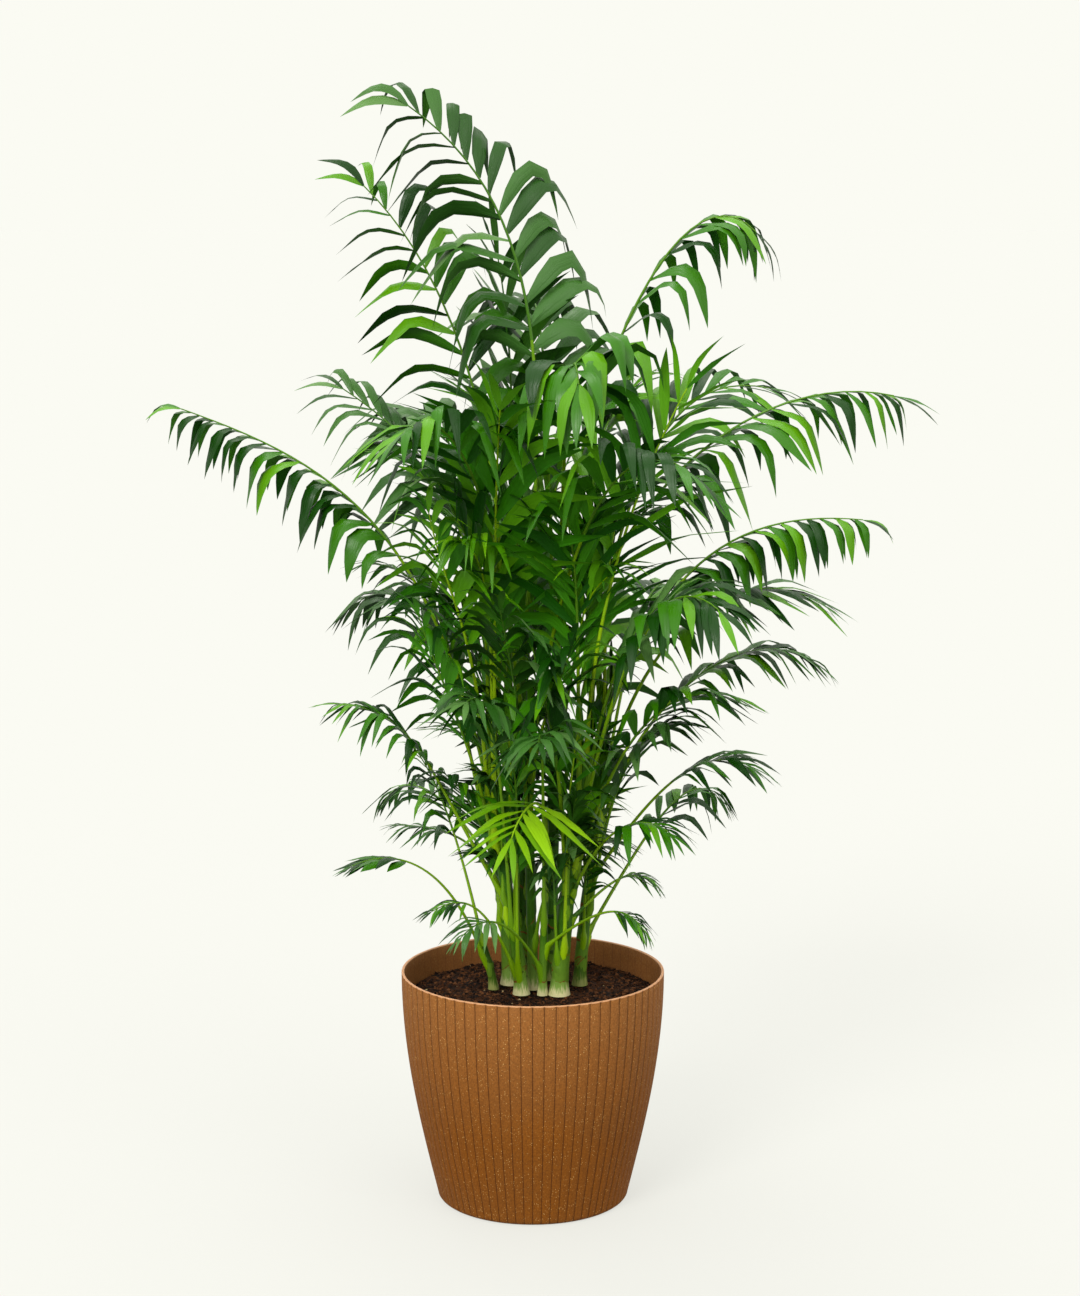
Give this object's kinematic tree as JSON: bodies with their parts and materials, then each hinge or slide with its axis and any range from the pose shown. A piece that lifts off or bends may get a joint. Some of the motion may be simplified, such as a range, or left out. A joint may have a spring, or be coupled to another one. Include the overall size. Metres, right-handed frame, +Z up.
{
  "type": "potted chamaedorea palm",
  "caption": "Clump of slender palm canes with arching feathery fronds, growing in soil in a round pleated pot that stands free on its flat underside.",
  "frame": {"origin": "centre of the pot's flat underside", "axes": "+Z up along the pot's axis, -Y towards the viewer of the picture, +X to that viewer's right"},
  "size_m": [0.8756, 0.7192, 1.2591],
  "materials": {
    "pot": "matt caramel brown with fine pale flecks, moulded in narrow upright pleats",
    "soil": "dark, coarse, crumbly potting soil",
    "cane": "smooth pale green sheathed stem",
    "leaf_deep": "satin deep green leaf",
    "leaf_green": "satin green leaf",
    "leaf_bright": "satin bright yellow-green leaf",
    "leaf_lime": "satin lime green young leaf"
  },
  "bodies": {
    "root": {"pot": "pot", "soil": "soil", "cane_left": "cane", "cane_pale": "cane", "cane_slim": "cane", "cane_young": "cane", "cane_stout": "cane", "cane_back": "cane", "cane_rear": "cane", "cane_right": "cane", "cane_sprig": "cane", "frond_top_left": "leaf_deep", "frond_upper_left": "leaf_green", "frond_top_middle": "leaf_deep", "frond_top_right": "leaf_green", "frond_top_front": "leaf_green", "frond_long_left": "leaf_green", "frond_shoulder_left": "leaf_deep", "frond_long_right": "leaf_green", "frond_second_right": "leaf_green", "frond_bright": "leaf_bright", "frond_left_inner": "leaf_bright", "frond_left_middle": "leaf_green", "frond_left_front": "leaf_green", "frond_lower_left": "leaf_green", "frond_sprig_left": "leaf_green", "frond_low_left": "leaf_green", "frond_low_left_back": "leaf_deep", "frond_rim_left": "leaf_green", "frond_right_middle": "leaf_green", "frond_right_low_long": "leaf_green", "frond_right_low": "leaf_green", "frond_rim_right": "leaf_green", "frond_rim_right_front": "leaf_green", "frond_lime": "leaf_lime", "frond_front_high_left": "leaf_green", "frond_front_high_right": "leaf_green", "frond_front_right": "leaf_green", "frond_front_left": "leaf_deep", "frond_front_middle": "leaf_deep", "frond_front_low_right": "leaf_green", "frond_front_low": "leaf_deep", "frond_core_right": "leaf_deep", "frond_core_right_low": "leaf_green", "frond_core_middle": "leaf_green", "frond_core_left": "leaf_deep", "frond_core_low_right": "leaf_deep", "frond_core_low_left": "leaf_green", "frond_core_low": "leaf_deep", "frond_core_back_low": "leaf_deep", "frond_core_back": "leaf_deep", "frond_back_high": "leaf_deep", "frond_back_high_right": "leaf_green", "frond_back_high_left": "leaf_deep", "frond_back_middle": "leaf_green", "frond_back_right": "leaf_green", "frond_back_left": "leaf_deep", "frond_back_low": "leaf_green", "frond_back_low_right": "leaf_green", "frond_back_low_left": "leaf_green"}
  },
  "joints": []
}
